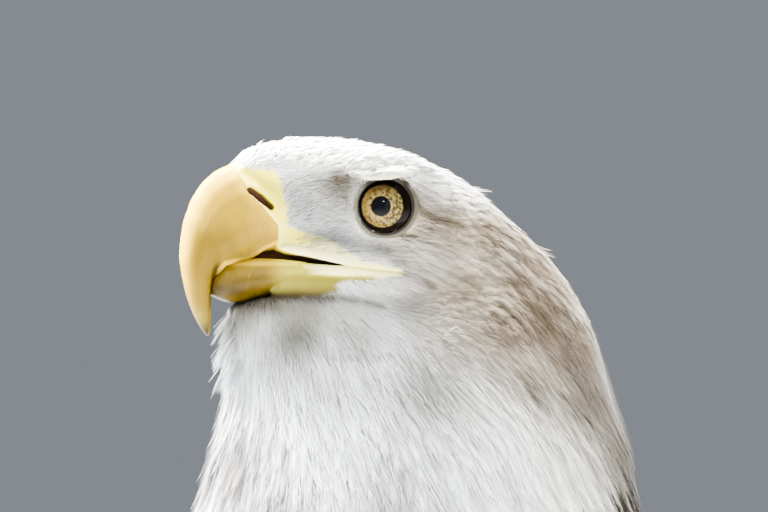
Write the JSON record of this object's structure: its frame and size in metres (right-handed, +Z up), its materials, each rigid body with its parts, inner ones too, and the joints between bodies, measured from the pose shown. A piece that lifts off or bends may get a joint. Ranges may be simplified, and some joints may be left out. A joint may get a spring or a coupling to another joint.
{
  "type": "bald eagle",
  "caption": "Life-size still model of a bald eagle standing with folded wings: white head and tail, dark brown body, hooked yellow bill slightly open, yellow legs and black claws.",
  "frame": {"origin": "on the floor, under the middle of the bird's outline seen from above", "axes": "+Z up, -Y the way the bird faces, +X the bird's left"},
  "size_m": [0.2196, 0.4644, 0.6778],
  "materials": {
    "horn": "satin yellow horn, paler along the ridge",
    "cere": "soft pale yellow skin",
    "eye": "wet, pale gold iris with a black pupil",
    "head_feathers": "matt white feathers, streaked with tan behind the eye",
    "neck_feathers": "matt white pointed feathers with fine brown shafts",
    "tail_feathers": "matt white tail feathers",
    "body_feathers": "matt dark brown feathers with paler edges",
    "thigh_feathers": "matt dark brown loose feathers",
    "wing_feathers": "dark brown feathers with a slight sheen",
    "leg_skin": "yellow scaled skin",
    "claw": "black horn"
  },
  "bodies": {
    "root": {"bill_upper": "horn", "cere": "cere", "bill_lower": "horn", "gape_left": "cere", "gape_right": "cere", "eye_left": "eye", "eye_right": "eye", "head": "head_feathers", "neck": "neck_feathers", "trunk": "body_feathers", "wing_left": "wing_feathers", "wing_right": "wing_feathers", "wing_tip_left": "wing_feathers", "wing_tip_right": "wing_feathers", "tail": "tail_feathers", "thigh_left": "thigh_feathers", "thigh_right": "thigh_feathers", "shank_left": "leg_skin", "shank_right": "leg_skin", "toe_middle_left": "leg_skin", "toe_middle_right": "leg_skin", "claw_middle_left": "claw", "claw_middle_right": "claw", "toe_inner_left": "leg_skin", "toe_inner_right": "leg_skin", "claw_inner_left": "claw", "claw_inner_right": "claw", "toe_outer_left": "leg_skin", "toe_outer_right": "leg_skin", "claw_outer_left": "claw", "claw_outer_right": "claw", "toe_back_left": "leg_skin", "toe_back_right": "leg_skin", "claw_back_left": "claw", "claw_back_right": "claw"}
  },
  "joints": []
}
